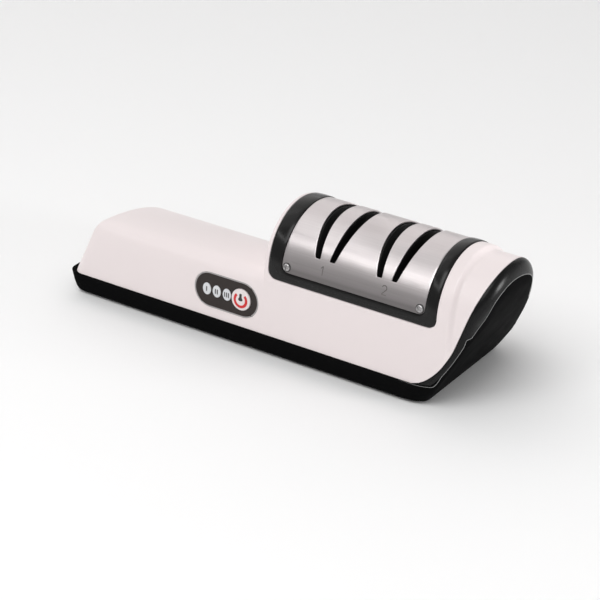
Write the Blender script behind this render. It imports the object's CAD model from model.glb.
# %% [markdown]
# # Electric knife sharpener
# A white moulded shell sits on a black tray. On the right it rises to a hump with an arched steel cover, and
# four slots in that cover lead blades to the grinding wheels. Each step below makes one piece: first its
# shape, worked out with numpy, and then its finish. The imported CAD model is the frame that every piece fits.

import math

import bmesh
import bpy
import numpy as np
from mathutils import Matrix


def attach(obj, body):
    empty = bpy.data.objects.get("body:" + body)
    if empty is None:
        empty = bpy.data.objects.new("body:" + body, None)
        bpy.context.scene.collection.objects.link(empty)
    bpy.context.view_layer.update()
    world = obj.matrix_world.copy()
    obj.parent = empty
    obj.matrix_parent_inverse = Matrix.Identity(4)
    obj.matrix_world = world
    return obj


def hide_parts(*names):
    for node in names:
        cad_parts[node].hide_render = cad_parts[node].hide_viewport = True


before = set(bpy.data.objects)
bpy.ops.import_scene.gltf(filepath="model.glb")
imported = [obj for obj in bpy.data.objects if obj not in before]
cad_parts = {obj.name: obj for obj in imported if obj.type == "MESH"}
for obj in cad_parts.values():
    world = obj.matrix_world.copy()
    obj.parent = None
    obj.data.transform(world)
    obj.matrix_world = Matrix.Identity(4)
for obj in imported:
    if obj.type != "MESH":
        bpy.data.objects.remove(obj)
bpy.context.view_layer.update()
HOUSING = "housing"
MM = 0.001
print("CAD nodes:", len(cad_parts))

# %% [markdown]
# ## From arrays to a mesh
# Nearly every piece is a sheet: a grid of points over two parameters, with openings where another piece shows
# through. Cutting the openings with booleans would leave ragged shading on glossy plastic. So each opening is
# part of the grid: the cells round it are replaced by rings that blend from the grid's lines to the outline.


# %% Sheets with openings
def grid_quads(index):
    """Quads between neighbouring rows and columns of a table of point numbers."""
    return np.stack([index[:-1, :-1], index[1:, :-1], index[1:, 1:], index[:-1, 1:]], -1).reshape(-1, 4)


def loop_grid(index):
    """Quads between the rows of a table of point numbers, where each row is a closed loop."""
    return grid_quads(np.concatenate([index, index[:, :1]], 1))


def ring_quads(outer, inner):
    """Quads between two closed loops of as many points, the outer one anticlockwise round the inner one."""
    return np.stack([outer, np.roll(outer, -1), np.roll(inner, -1), inner], 1)


def block_loop(index, i, j):
    """Point numbers round the block of cells between two rows i and two columns j, anticlockwise."""
    return np.concatenate([index[i[0]:i[1], j[0]], index[i[1], j[0]:j[1]],
                           index[i[1]:i[0]:-1, j[1]], index[i[0], j[1]:j[0]:-1]])


def sheet(us, vs, openings=()):
    """Points (u, v) and quads over us x vs. An opening (us, vs, outline, shares) takes out the cells between
    those two grid lines each way, and adds rings at shares of the way from the block to outline(block)."""
    uu, vv = np.meshgrid(us, vs, indexing="ij")
    points = [np.stack([uu.ravel(), vv.ravel()], 1)]
    index = np.arange(uu.size).reshape(uu.shape)
    kept = np.ones((len(us) - 1, len(vs) - 1), bool)
    quads, edges, total = [], [], uu.size
    for u_span, v_span, outline, shares in openings:
        i = np.abs(us[:, None] - np.array(u_span)).argmin(0)
        j = np.abs(vs[:, None] - np.array(v_span)).argmin(0)
        kept[i[0]:i[1], j[0]:j[1]] = False
        loop = block_loop(index, i, j)
        outer = points[0][loop]
        inner = outline(outer)
        for share in shares:
            points.append(outer + (inner - outer) * share)
            ring = np.arange(total, total + len(outer))
            quads.append(ring_quads(loop, ring))
            loop, total = ring, total + len(outer)
        edges.append(loop)
    quads.insert(0, grid_quads(index)[kept.ravel()])
    return np.concatenate(points), np.concatenate(quads), edges


def rounded(points, centre, half, radius):
    """Moves each point of a rectangle's edge to a rounded rectangle: scaled to the half sizes, and in the
    corners put at the radius from the corner's centre. Radius = half height gives a stadium or a circle."""
    q = np.asarray(points, float) - centre
    q = np.where(q > 0, q / q.max(0), q / -q.min(0)) * np.array(half)
    core = np.minimum(np.abs(q), np.array(half) - radius)
    away = np.abs(q) - core
    away = away * (radius / np.maximum(np.linalg.norm(away, axis=1, keepdims=True), 1e-9))
    return centre + np.sign(q) * (core + away)


def rectangle_loop(half, counts):
    """Points round a rectangle about the origin, anticlockwise, with counts cells along each way."""
    i, j = counts
    a = np.linspace(-half[0], half[0], i + 1)
    b = np.linspace(-half[1], half[1], j + 1)
    return np.concatenate([
        np.stack([a[:-1], np.full(i, -half[1])], 1), np.stack([np.full(j, half[0]), b[:-1]], 1),
        np.stack([a[:0:-1], np.full(i, half[1])], 1), np.stack([np.full(j, -half[0]), b[:0:-1]], 1)])


# %% From points to a finished object
def new_mesh(name, points, faces, smooth_below=35.0):
    """Makes an object at the origin from points in mm, with doubles merged and faces pointing outwards."""
    mesh = bpy.data.meshes.new(name)
    mesh.from_pydata(np.asarray(points, float) * MM, [], [list(map(int, f)) for f in faces])
    bm = bmesh.new()
    bm.from_mesh(mesh)
    bmesh.ops.remove_doubles(bm, verts=bm.verts, dist=2e-6)
    bmesh.ops.dissolve_degenerate(bm, edges=bm.edges, dist=1e-6)
    bmesh.ops.recalc_face_normals(bm, faces=bm.faces)
    bm.to_mesh(mesh)
    bm.free()
    mesh.shade_smooth()
    mesh.set_sharp_from_angle(angle=math.radians(smooth_below))
    piece = bpy.data.objects.new(name, mesh)
    bpy.context.scene.collection.objects.link(piece)
    return piece


def apply_modifiers(piece):
    """Writes what the modifiers make into the piece's own mesh."""
    graph = bpy.context.evaluated_depsgraph_get()
    done = bpy.data.meshes.new_from_object(piece.evaluated_get(graph))
    piece.modifiers.clear()
    piece.data = done
    done.set_sharp_from_angle(angle=math.radians(35.0))
    return piece


def thicken(piece, wall, softening=0.0):
    """Gives an open sheet its wall, inwards, and rounds the edges that this makes."""
    solid = piece.modifiers.new("wall", "SOLIDIFY")
    solid.thickness = wall * MM
    solid.offset = -1.0
    if softening:
        edge = piece.modifiers.new("edge", "BEVEL")
        edge.width = softening * MM
        edge.segments = 2
        edge.limit_method = "ANGLE"
        edge.angle_limit = math.radians(50.0)
    return apply_modifiers(piece)


def outward_is(piece, direction_test):
    """Turns an open sheet round where its first faces look the wrong way by the given test."""
    mesh = piece.data
    centres = np.empty(len(mesh.polygons) * 3)
    normals = np.empty(len(mesh.polygons) * 3)
    mesh.polygons.foreach_get("center", centres)
    mesh.polygons.foreach_get("normal", normals)
    if np.sum(direction_test(centres.reshape(-1, 3) / MM) * normals.reshape(-1, 3)) < 0:
        mesh.flip_normals()
    return piece


def finish(piece, material, body=HOUSING, nodes=()):
    """Gives a piece its material and slot, puts it in place of its CAD nodes and lets it ride its body."""
    piece.data.materials.clear()
    piece.data.materials.append(material)
    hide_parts(*nodes)
    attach(piece, body)
    faces = sum(len(p.vertices) - 2 for p in piece.data.polygons)
    print(f"{piece.name}: {faces} triangles")
    return piece


def lathe(profile, steps=64, axis="z"):
    """Revolves [along, radius] pairs about an axis through the origin. Closed where the radius is zero."""
    along, radius = np.array(profile, float).T
    turn = np.linspace(0, 2 * np.pi, steps, endpoint=False)
    ring = np.stack([np.outer(radius, np.cos(turn)), np.outer(radius, np.sin(turn)),
                     np.repeat(along[:, None], steps, 1)], -1)
    if axis != "z":
        ring = ring[..., [2, 0, 1] if axis == "x" else [1, 2, 0]]
    index = np.arange(ring.shape[0] * steps).reshape(-1, steps)
    return ring.reshape(-1, 3), loop_grid(index)


# %% [markdown]
# ## Finishes
# A single flat colour reads as paper. Moulded plastic shows through its roughness: a little unevenness in the
# gloss and a faint texture that moves the highlight. Brushed steel is a stretched noise in the roughness and
# the bump. All patterns use Object coordinates, so they keep their scale in metres on every piece.


# %% Material helper
class Finish:
    """Builds a node material step by step, on one Principled shader."""

    def __init__(self, name, color, roughness, metallic=0.0, **sockets):
        self.material = bpy.data.materials.new(name)
        self.material.use_nodes = True
        self.tree = self.material.node_tree
        self.shader = self.tree.nodes["Principled BSDF"]
        self.shader.inputs["Base Color"].default_value = (*color, 1.0)
        self.shader.inputs["Roughness"].default_value = roughness
        self.shader.inputs["Metallic"].default_value = metallic
        for key, value in sockets.items():
            self.shader.inputs[key.replace("_", " ")].default_value = value
        self.material.diffuse_color = (*color, 1.0)

    def node(self, kind, **values):
        made = self.tree.nodes.new(kind)
        for key, value in values.items():
            if key in made.inputs:
                made.inputs[key].default_value = value
            else:
                setattr(made, key, value)
        return made

    def link(self, source, target):
        self.tree.links.new(source, target)

    def noise(self, scale, stretch=(1.0, 1.0, 1.0), detail=3.0):
        """Noise on Object coordinates, stretched along the axes; scale counts features per metre."""
        place = self.node("ShaderNodeTexCoord")
        mapping = self.node("ShaderNodeMapping")
        mapping.inputs["Scale"].default_value = stretch
        noise = self.node("ShaderNodeTexNoise", Scale=scale, Detail=detail)
        self.link(place.outputs["Object"], mapping.inputs["Vector"])
        self.link(mapping.outputs["Vector"], noise.inputs["Vector"])
        return noise.outputs["Fac"]

    def vary(self, fac, target, low, high):
        """Spreads a 0..1 value over a socket's range."""
        spread = self.node("ShaderNodeMapRange")
        spread.inputs["From Min"].default_value = 0.3
        spread.inputs["From Max"].default_value = 0.7
        spread.inputs["To Min"].default_value = low
        spread.inputs["To Max"].default_value = high
        self.link(fac, spread.inputs["Value"])
        self.link(spread.outputs["Result"], self.shader.inputs[target])

    def tint(self, fac, low, high):
        """Moves the colour between two tones with a 0..1 value."""
        ramp = self.node("ShaderNodeValToRGB")
        ramp.color_ramp.elements[0].position = 0.3
        ramp.color_ramp.elements[1].position = 0.7
        ramp.color_ramp.elements[0].color = (*low, 1.0)
        ramp.color_ramp.elements[1].color = (*high, 1.0)
        self.link(fac, ramp.inputs["Fac"])
        self.link(ramp.outputs["Color"], self.shader.inputs["Base Color"])

    def darken_below(self, low, high, tone):
        """Multiplies the colour by a tone at the height low, which rises to 1 at the height high."""
        place = self.node("ShaderNodeTexCoord")
        parts = self.node("ShaderNodeSeparateXYZ")
        spread = self.node("ShaderNodeMapRange")
        for key, value in (("From Min", low), ("From Max", high), ("To Min", tone), ("To Max", 1.0)):
            spread.inputs[key].default_value = value
        product = self.node("ShaderNodeVectorMath", operation="MULTIPLY")
        self.link(place.outputs["Object"], parts.inputs["Vector"])
        self.link(parts.outputs["Z"], spread.inputs["Value"])
        self.link(self.shader.inputs["Base Color"].links[0].from_socket, product.inputs[0])
        self.link(spread.outputs["Result"], product.inputs[1])
        self.link(product.outputs["Vector"], self.shader.inputs["Base Color"])

    def bump(self, fac, height, strength=1.0):
        bump = self.node("ShaderNodeBump", Strength=strength, Distance=height)
        self.link(fac, bump.inputs["Height"])
        self.link(bump.outputs["Normal"], self.shader.inputs["Normal"])


def moulded(name, color, roughness, spread=0.06, grain=2600.0, height=0.00002, **sockets):
    """Moulded plastic: gloss that drifts slowly, over a fine even grain."""
    made = Finish(name, color, roughness, **sockets)
    made.vary(made.noise(60.0), "Roughness", roughness - spread, roughness + spread)
    made.bump(made.noise(grain, detail=1.0), height, 0.25)
    return made.material


# %% The plastics, rubber and small metals
white_plastic = moulded("white_plastic", (0.83, 0.75, 0.748), 0.34, 0.04, 1500.0, 0.00001)
black_plastic = moulded("black_plastic", (0.005, 0.005, 0.0052), 0.46, 0.06, Specular_IOR_Level=0.002)
rim_plastic = moulded("rim_plastic", (0.006, 0.006, 0.0062), 0.26, 0.04, 1800.0, 0.00001,
                      Specular_IOR_Level=0.16)
frame_plastic = moulded("frame_plastic", (0.008, 0.0078, 0.0076), 0.2, 0.05, 1800.0, 0.00001,
                        Specular_IOR_Level=0.24)
seam_plastic = moulded("seam_plastic", (0.24, 0.24, 0.24), 0.4, 0.05, 1800.0, 0.00001)
inner_plastic = moulded("inner_plastic", (0.010, 0.010, 0.010), 0.5, 0.08)
rubber = moulded("foot_rubber", (0.014, 0.014, 0.014), 0.85, 0.08, 3200.0, 0.00004)
nylon = moulded("nylon", (0.62, 0.6, 0.54), 0.5, 0.06)
laminate = moulded("board_laminate", (0.02, 0.11, 0.04), 0.45, 0.08)
lens_plastic = moulded("lens_plastic", (0.7, 0.71, 0.73), 0.3, 0.05, 2000.0, 0.00001)


def abrasive(name, color, grit):
    """Bonded grit: specks of two tones over a rough, sparkling ground."""
    made = Finish(name, color, 0.9)
    specks = made.noise(grit, detail=2.0)
    made.tint(specks, tuple(c * 0.55 for c in color), tuple(min(c * 1.6, 1.0) for c in color))
    made.bump(specks, 0.0002, 0.8)
    return made.material


def turned(name, color, roughness, lines=(40.0, 900.0, 900.0)):
    """Turned or plated metal with fine marks round its axis."""
    made = Finish(name, color, roughness, 1.0)
    marks = made.noise(8.0, lines)
    made.vary(marks, "Roughness", roughness - 0.08, roughness + 0.1)
    made.bump(marks, 0.00001, 0.3)
    return made.material


fine_grit = abrasive("fine_grit", (0.27, 0.25, 0.23), 5200.0)
coarse_grit = abrasive("coarse_grit", (0.16, 0.12, 0.1), 2600.0)
bright_steel = turned("bright_steel", (0.62, 0.61, 0.6), 0.24)
screw_steel = turned("screw_steel", (0.46, 0.45, 0.45), 0.34)
brass = turned("brass", (0.58, 0.38, 0.13), 0.28)
print("materials:", len(bpy.data.materials))

# %% [markdown]
# ## The body's sections
# Cut across its length, the body has two sections. On the left, a steep front wall turns over a tight
# shoulder and falls in one long curve to the back. On the right, the same front wall runs up into a round
# arch. Both share the front wall's line, so the shell can be skinned by mixing one section into the other.

# %% Sizes of the sections, in mm
FOOT_Y, PARTING, SHELL_FOOT = 45.2, 14.8, 14.95
ARCH_Y, ARCH_Z, ARCH_R, DIP = -8.2, 53.1, 33.2, 2.2
FACE_TOP, SHOULDER_R = 42.4, 8.5
CREST_PULL, CREST_DROP, BACK_PULL, BACK_RISE = 28.0, 3.0, 15.8, 21.2
HANDLE_END, END_RADIUS, LEAN_END = -138.8, 7.0, -58.0
HANDLE_LEAN = math.tan(math.radians(24.0))


def flank_angle(radius, side):
    """Angle on the arch where a line from the foot touches it: the foot's bearing turned by
    acos(radius / distance)."""
    reach_y, reach_z = side * FOOT_Y - ARCH_Y, PARTING - ARCH_Z
    swing = np.arccos(radius / math.hypot(reach_y, reach_z))
    return math.atan2(reach_z, reach_y) + side * swing + (2 * np.pi if side < 0 else 0.0)


def flank(radius, z, side=-1):
    """Y on the straight flank at a height: the foot moved in by the flank's slope."""
    slope = np.abs(np.tan(flank_angle(radius, side)))
    return side * (FOOT_Y - (z - PARTING) * slope)


def arch_path(radius, share):
    """A point at a share of the way over the arch, from the front wall at FACE_TOP to the back foot: up the
    flank, round the circle by angle = length / radius, and down the other flank."""
    radius, share = np.broadcast_arrays(np.asarray(radius, float), share)
    front, back = flank_angle(radius, -1), flank_angle(radius, 1)
    rise = (ARCH_Z + radius * np.sin(front) - FACE_TOP) / -np.cos(front)
    bow = radius * (front - back)
    fall = (ARCH_Z + radius * np.sin(back) - SHELL_FOOT) / np.cos(back)
    s = share * (rise + bow + fall)
    angle = front - np.clip(s - rise, 0, bow) / radius
    up, down = np.clip(rise - s, 0, None), np.clip(s - rise - bow, 0, None)
    y = ARCH_Y + radius * np.cos(angle) - up * np.sin(angle) + down * np.sin(angle)
    z = ARCH_Z + radius * np.sin(angle) + up * np.cos(angle) - down * np.cos(angle)
    return y, z


def hand_rest_path(share):
    """A point at a share of the length of the low section: a round shoulder, then a cubic curve
    (1-t)^3 A + 3(1-t)^2 t B + 3(1-t) t^2 C + t^3 D down to the back foot, where B and C pull its ends."""
    front = flank_angle(ARCH_R, -1)
    top = np.array([flank(ARCH_R, FACE_TOP), FACE_TOP])
    centre = top - SHOULDER_R * np.array([np.cos(front), np.sin(front)])
    tilt = np.pi / 2 - math.atan2(CREST_DROP, CREST_PULL)
    swing = np.linspace(front, tilt, 200)[:, None]
    arc = centre + SHOULDER_R * np.hstack([np.cos(swing), np.sin(swing)])
    a, d = arc[-1], np.array([FOOT_Y, PARTING])
    b = a + (CREST_PULL, -CREST_DROP)
    c = d + (-BACK_PULL, BACK_RISE)
    t = np.linspace(0, 1, 800)[1:, None]
    curve = (1 - t) ** 3 * a + 3 * (1 - t) ** 2 * t * b + 3 * (1 - t) * t ** 2 * c + t ** 3 * d
    path = np.vstack([arc, curve])
    length = np.concatenate([[0], np.cumsum(np.linalg.norm(np.diff(path, axis=0), axis=1))])
    at = share * length[-1]
    return np.interp(at, length, path[:, 0]), np.interp(at, length, path[:, 1])


def smooth(low, high, value):
    """0 below low, 1 above high, and t^2 (3 - 2t) in between."""
    t = np.clip((value - low) / (high - low), 0, 1)
    return t * t * (3 - 2 * t)


# %% [markdown]
# The arch is easiest to draw on when it is unrolled. A point is then (x, s, depth): x along the body, s the
# length round the arch from its crest, and the height above the surface. Frame, cover, slots and screws are
# all drawn flat this way and bent on to the arch at the end.

# %% The unrolled arch
FRONT_ANGLE, BACK_ANGLE = float(flank_angle(ARCH_R, -1)), float(flank_angle(ARCH_R, 1))


def on_arch(points, height=0.0):
    """Bends flat points (x, s) on to the arch: angle = 90 degrees - s / radius up to the flanks, which run
    straight on, and then out along the normal by the height."""
    x, s = np.asarray(points, float).T
    angle = np.clip(np.pi / 2 - s / ARCH_R, BACK_ANGLE, FRONT_ANGLE)
    beyond = s - ARCH_R * (np.pi / 2 - angle)
    y = ARCH_Y + (ARCH_R + height) * np.cos(angle) + beyond * np.sin(angle)
    z = ARCH_Z + (ARCH_R + height) * np.sin(angle) - beyond * np.cos(angle)
    return np.stack([x, y, z], 1)


def s_at(z, side):
    """The unrolled length at a height on the front (-1) or back (1)."""
    s = np.linspace(0, side * 90, 4000)
    height = on_arch(np.stack([s, s], 1))[:, 2]
    return float(np.interp(-z, -height, s))


print("arch from", round(s_at(FACE_TOP, -1), 1), "to", round(s_at(SHELL_FOOT, 1), 1), "mm")

# %% [markdown]
# ## White shell
# One moulding: the hand rest, a filleted step, the hump, a shallow dip and a slanted right edge. The grid
# runs along the body and round the section. Its columns lean with the left end, crowd into the fillet and fan
# out to the slanted edge, so every edge of the real shell is a line of the grid.

# %% Columns of the shell
WALL_X, FILLET, EDGE_ROUND = -1.0, 12.0, 1.2
RISE = ARCH_Z + ARCH_R - FACE_TOP - SHOULDER_R
FAN_LOW, FAN_HIGH = 96.0, 113.0
DIP_START, DIP_LENGTH = 117.0, 4.0
PANEL_X, PANEL_Z, PANEL_W, PANEL_H = -26.3, 31.4, 44.4, 21.3


def shell_edge(z):
    """X of the slanted right edge: a straight lean with an elliptic round at its lower corner."""
    share = np.clip((PARTING + 28.0 - z) / 28.0, 0, 1)
    return 137.0 - 0.33 * (85.5 - z) - 17.0 * (1 - np.sqrt(1 - share * share))


EDGE_AT_FACE = float(shell_edge(FACE_TOP))


def shell_columns():
    """Rows of (x, share of the hump, inset) for the columns from left to right."""
    turn = np.linspace(0, 1, 12) * np.pi / 2
    end = np.stack([HANDLE_END + END_RADIUS * (1 - np.cos(turn)), turn * 0,
                    END_RADIUS * (1 - np.sin(turn))], 1)
    straight = [(x, 0, 0) for x in (*np.linspace(-126, LEAN_END, 14), -54, -50.5, *np.linspace(-46, -16, 9))]
    swing = np.sort(np.append(np.linspace(0, 1, 10), math.asin(1 - 1.6 / FILLET) * 2 / np.pi)) * np.pi / 2
    fillet = np.stack([WALL_X - FILLET * (1 - np.sin(swing)), FILLET * (1 - np.cos(swing)) / RISE,
                       swing * 0], 1)
    climb = [(WALL_X, share, 0) for share in np.linspace(FILLET / RISE, 1 - EDGE_ROUND / RISE, 9)[1:-1]]
    lip = np.linspace(0, 1, 6) * np.pi / 2
    edge = np.stack([WALL_X + EDGE_ROUND * (1 - np.cos(lip)), 1 - EDGE_ROUND * (1 - np.sin(lip)) / RISE,
                     lip * 0], 1)
    hump = [(x, 1, 0) for x in (*np.linspace(4, 112.5, 28), *np.linspace(FAN_HIGH, EDGE_AT_FACE, 34))]
    return np.vstack([end, straight, fillet, climb, edge, hump])


columns = shell_columns()
LABEL_SPAN = (-50.5, WALL_X - 1.6)
WINDOW_SPAN, WINDOW_FOOT = (WALL_X + EDGE_ROUND, 112.5), 46.5
window_s = (s_at(WINDOW_FOOT, -1), s_at(WINDOW_FOOT, 1))
flank_rows = np.linspace(SHELL_FOOT, FACE_TOP, 18)
arch_rows = np.concatenate([
    np.linspace(s_at(FACE_TOP, -1), window_s[0], 3)[:-1], np.linspace(*window_s, 92),
    np.linspace(window_s[1], s_at(SHELL_FOOT, 1), 16)[1:]])
arch_shares = (arch_rows - arch_rows[0]) / (arch_rows[-1] - arch_rows[0])
print("shell grid:", len(columns), "x", len(flank_rows) + len(arch_rows))


# %% Points of the shell
def shell_points(column, row):
    """Column numbers and row numbers (both may be fractions) to places in mm. Rows count up the front wall
    first and then over the top. The section is a mix of the two paths, moved in by the column's inset."""
    number = np.arange(len(columns))
    x, mix, inset = (np.interp(column, number, columns[:, k]) for k in range(3))
    walls = len(flank_rows) - 1
    z_front = np.interp(row, np.arange(walls + 1), flank_rows)
    share = np.interp(row - walls, np.arange(len(arch_rows)), arch_shares)
    dipped_z = np.where(row < walls, z_front, arch_path(ARCH_R - DIP, share)[1])
    fan_from = np.where(dipped_z < FACE_TOP, FAN_LOW, FAN_HIGH)
    spread = (shell_edge(dipped_z) - fan_from) / (EDGE_AT_FACE - fan_from)
    x = np.where(x > fan_from, fan_from + (x - fan_from) * spread, x)
    radius = ARCH_R - DIP * smooth(DIP_START, DIP_START + DIP_LENGTH, x)
    high, low = arch_path(radius, share), hand_rest_path(share)
    y = np.where(row < walls, flank(radius, z_front), low[0] + (high[0] - low[0]) * mix)
    z = np.where(row < walls, z_front, low[1] + (high[1] - low[1]) * mix)
    return x, y, z, inset


def moved_in(y, z, inset):
    """Moves each column's section in along its own normal, and cuts it level at the shell's foot."""
    along_y, along_z = np.gradient(y, axis=1), np.gradient(z, axis=1)
    length = np.hypot(along_y, along_z)
    y, z = y + inset * along_z / length, z - inset * along_y / length
    rows = np.arange(y.shape[1])
    for column in np.flatnonzero(inset[:, 0] > 0):
        inside = np.flatnonzero(z[column] >= SHELL_FOOT)
        first, last = inside[0], inside[-1]
        ends = []
        for kept, cut in ((first, first - 1), (last, last + 1)):
            if 0 <= cut < len(rows):
                drop = z[column, kept] - z[column, cut]
                ends.append(kept + (cut - kept) * (z[column, kept] - SHELL_FOOT) / drop)
            else:
                ends.append(float(kept))
        at = np.linspace(ends[0], ends[1], len(rows))
        y[column], z[column] = np.interp(at, rows, y[column]), np.interp(at, rows, z[column])
    return y, z


def shell_surface():
    """The shell's grid of places; its left end leans by x = height above the tray * tan(24 degrees)."""
    count = len(flank_rows) + len(arch_rows) - 1
    column, row = np.meshgrid(np.arange(len(columns)), np.arange(count), indexing="ij")
    x, y, z, inset = shell_points(column.astype(float), row.astype(float))
    y, z = moved_in(y, z, inset)
    left = np.clip((LEAN_END - x) / (LEAN_END - HANDLE_END), 0, 1)
    return np.stack([x + left * HANDLE_LEAN * (z - PARTING), y, z], -1)


# %% [markdown]
# The grid has a block of cells taken out for the label and one for the frame's window. Rings then close in on
# the real outlines: a stadium on the front wall, and a rounded rectangle on the unrolled arch.

# %% Shell with its two openings and its end wall
FRAME_LEFT, FRAME_RIGHT, FRAME_FOOT, FRAME_CORNER = 1.7, 110.7, 50.0, 5.0
GAP = 0.3
front_tilt = abs(math.cos(FRONT_ANGLE))


def panel_place(points, height=0.0):
    """Points (x along, y up) on the label's own plane, raised by a height, to places in mm."""
    x, up = np.asarray(points, float).T
    z = PANEL_Z + up * front_tilt
    normal = np.array([0.0, math.cos(FRONT_ANGLE), math.sin(FRONT_ANGLE)])
    place = np.stack([PANEL_X + x, flank(ARCH_R, z), z], 1)
    return place + np.multiply.outer(np.broadcast_to(height, x.shape), normal)


frame_s = (s_at(FRAME_FOOT, -1), s_at(FRAME_FOOT, 1))
frame_middle = ((FRAME_LEFT + FRAME_RIGHT) / 2, sum(frame_s) / 2)
frame_half = ((FRAME_RIGHT - FRAME_LEFT) / 2, (frame_s[1] - frame_s[0]) / 2)


def close_in(points, loop, flat, target, place, shares=(0.35, 0.7, 1.0)):
    """Rings from a loop of a surface to a target outline. Both are given in a flat drawing plane, and place
    takes that plane back to the surface."""
    quads = []
    for share in shares:
        ring = np.arange(len(points), len(points) + len(loop))
        points = np.vstack([points, place(flat + (target - flat) * share)])
        quads.append(ring_quads(loop, ring))
        loop = ring
    return points, np.vstack(quads)


def from_axis(centre):
    """Which way is out, seen from the body's long axis."""
    return centre - centre * (1, 0, 0) - (0, 0, 30)


def from_end(centre):
    """Which way is out, seen from the middle of the right end."""
    return centre - (100, MEDIAL_Y, 50)


def from_arch(centre):
    """Which way is out, seen from the arch's own middle."""
    return centre - (57, ARCH_Y, ARCH_Z)


def to_front(centre):
    """Out is towards the front."""
    return centre * 0 + (0, -1, 0)


# %% The shell itself
def make_shell():
    """Grid, rings round both openings and the end wall as one sheet, which then gets its wall."""
    surface = shell_surface()
    wide, high = surface.shape[:2]
    index = np.arange(wide * high).reshape(wide, high)
    points = surface.reshape(-1, 3)
    kept = np.ones((wide - 1, high - 1), bool)
    walls = len(flank_rows) - 1
    label_i = [np.abs(columns[:, 0] - x).argmin() for x in LABEL_SPAN]
    label_j = [3, walls]
    window_i = [np.abs(columns[:, 0] - x).argmin() for x in WINDOW_SPAN]
    window_j = [walls + np.abs(arch_rows - s).argmin() for s in window_s]
    quads = []
    flat_label = np.stack([points[:, 0] - PANEL_X, (points[:, 2] - PANEL_Z) / front_tilt], -1)
    flat_arch = np.stack(np.broadcast_arrays(
        surface[..., 0], np.concatenate([np.full(walls, arch_rows[0]), arch_rows])[None]), -1).reshape(-1, 2)
    outlines = [
        (label_i, label_j, flat_label, (0, 0), (PANEL_W / 2 + GAP / 2, PANEL_H / 2 + GAP / 2),
         PANEL_H / 2 + GAP / 2, panel_place),
        (window_i, window_j, flat_arch, frame_middle, (frame_half[0] + GAP, frame_half[1] + GAP),
         FRAME_CORNER + GAP, on_arch)]
    for i, j, flat, centre, half, radius, place in outlines:
        kept[i[0]:i[1], j[0]:j[1]] = False
        loop = block_loop(index, i, j)
        target = rounded(flat[loop], centre, half, radius)
        points, rings = close_in(points, loop, flat[loop], target, place)
        quads.append(rings)
    end = surface[0]
    share = np.linspace(0, 1, 14)[:, None, None]
    cap = end[None] + (end[::-1][None] - end[None]) * share
    cap = cap[:, :high // 2 + 1]
    cap_index = np.arange(cap.shape[0] * cap.shape[1]).reshape(cap.shape[:2]) + len(points)
    quads += [grid_quads(index)[kept.ravel()], grid_quads(cap_index)]
    shell = new_mesh("white_shell", np.vstack([points, cap.reshape(-1, 3)]), np.vstack(quads))
    return thicken(outward_is(shell, from_axis), 1.2, 0.15)


finish(make_shell(), white_plastic, nodes=["upper_shell"])

# %% [markdown]
# ## Black end
# The right end is a broad rounded band that turns the flanks into a leaning flat face. Its depth is one
# formula for every point of the end's elevation, and two pieces are cut from it along the parting line: the
# glossy rim outside, and the face inside, which belongs to the tray.

# %% Depth of the end
END_RADIUS_ARCH = ARCH_R - DIP
MEDIAL_Y, MEDIAL_Z = -7.0, 58.0


def end_face(z):
    """X of the leaning face at a height: a line, a bow of up to 3.25 mm, and a round fall near the crest."""
    return 103.4 + 0.505 * z + 3.25 * (1 - ((z - 42) / 42) ** 2) - 0.0117 * np.clip(z - 63.5, 0, None) ** 2


def medial_y(z):
    """Y of the middle line, which leans back with the arch."""
    return MEDIAL_Y * np.clip((z - PARTING) / (MEDIAL_Z - PARTING), 0, 1)


def band_share(z, side):
    """How far in the band ends, as a share of the way to the middle: narrow low down, broad over the arch. It
    grows quickly up the front flank and slowly up the back."""
    front = 0.17 + 0.38 * smooth(42, 56, z) - 0.045 * smooth(66, 80, z)
    return np.where(side < 0, front, 0.144 + 0.361 * smooth(45, 84, z))


def end_depth(y, z):
    """X of the end at (y, z). The point lies on a ray from the middle line to the section's edge. Along that
    ray the band is a quarter of an ellipse, so sin(a) gives the depth where 1 - cos(a) is the share."""
    side = np.where(y < medial_y(z), -1, 1)
    angle = np.where(side < 0, flank_angle(END_RADIUS_ARCH, -1), flank_angle(END_RADIUS_ARCH, 1))
    slope, touch = np.abs(np.tan(angle)), ARCH_Z + END_RADIUS_ARCH * np.sin(angle)
    line_y = side * (FOOT_Y - (z - PARTING) * slope)
    circle_y = ARCH_Y + side * np.sqrt(np.clip(END_RADIUS_ARCH ** 2 - (z - ARCH_Z) ** 2, 0, None))
    edge_y = np.where(z < touch, line_y, circle_y)
    low_share = (y - edge_y) / (medial_y(z) - edge_y)
    ray = np.stack([y - MEDIAL_Y, np.maximum(z - MEDIAL_Z, 1e-6)])
    offset = np.array([MEDIAL_Y - ARCH_Y, MEDIAL_Z - ARCH_Z])
    a, b = (ray ** 2).sum(0), ray[0] * offset[0] + ray[1] * offset[1]
    c = (offset ** 2).sum() - END_RADIUS_ARCH ** 2
    reach = (-b + np.sqrt(b * b - a * c)) / np.maximum(a, 1e-9)
    to_line = side * (FOOT_Y - (MEDIAL_Z - PARTING) * slope) - MEDIAL_Y
    line_reach = to_line / (ray[0] + side * slope * ray[1] + 1e-12)
    on_line = (line_reach > 0) & (MEDIAL_Z + line_reach * ray[1] < touch)
    reach = np.where(on_line, line_reach, reach)
    high = z > MEDIAL_Z
    share = np.where(high, (reach - 1) / np.maximum(reach, 1e-9), low_share)
    edge_z = np.where(high, MEDIAL_Z + reach * ray[1], z)
    turn = np.arccos(np.clip(1 - np.clip(share, 0, 1) / band_share(edge_z, side), 0, 1))
    start = shell_edge(edge_z) + GAP
    return start + (end_face(z) - start) * np.sin(turn)


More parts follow.
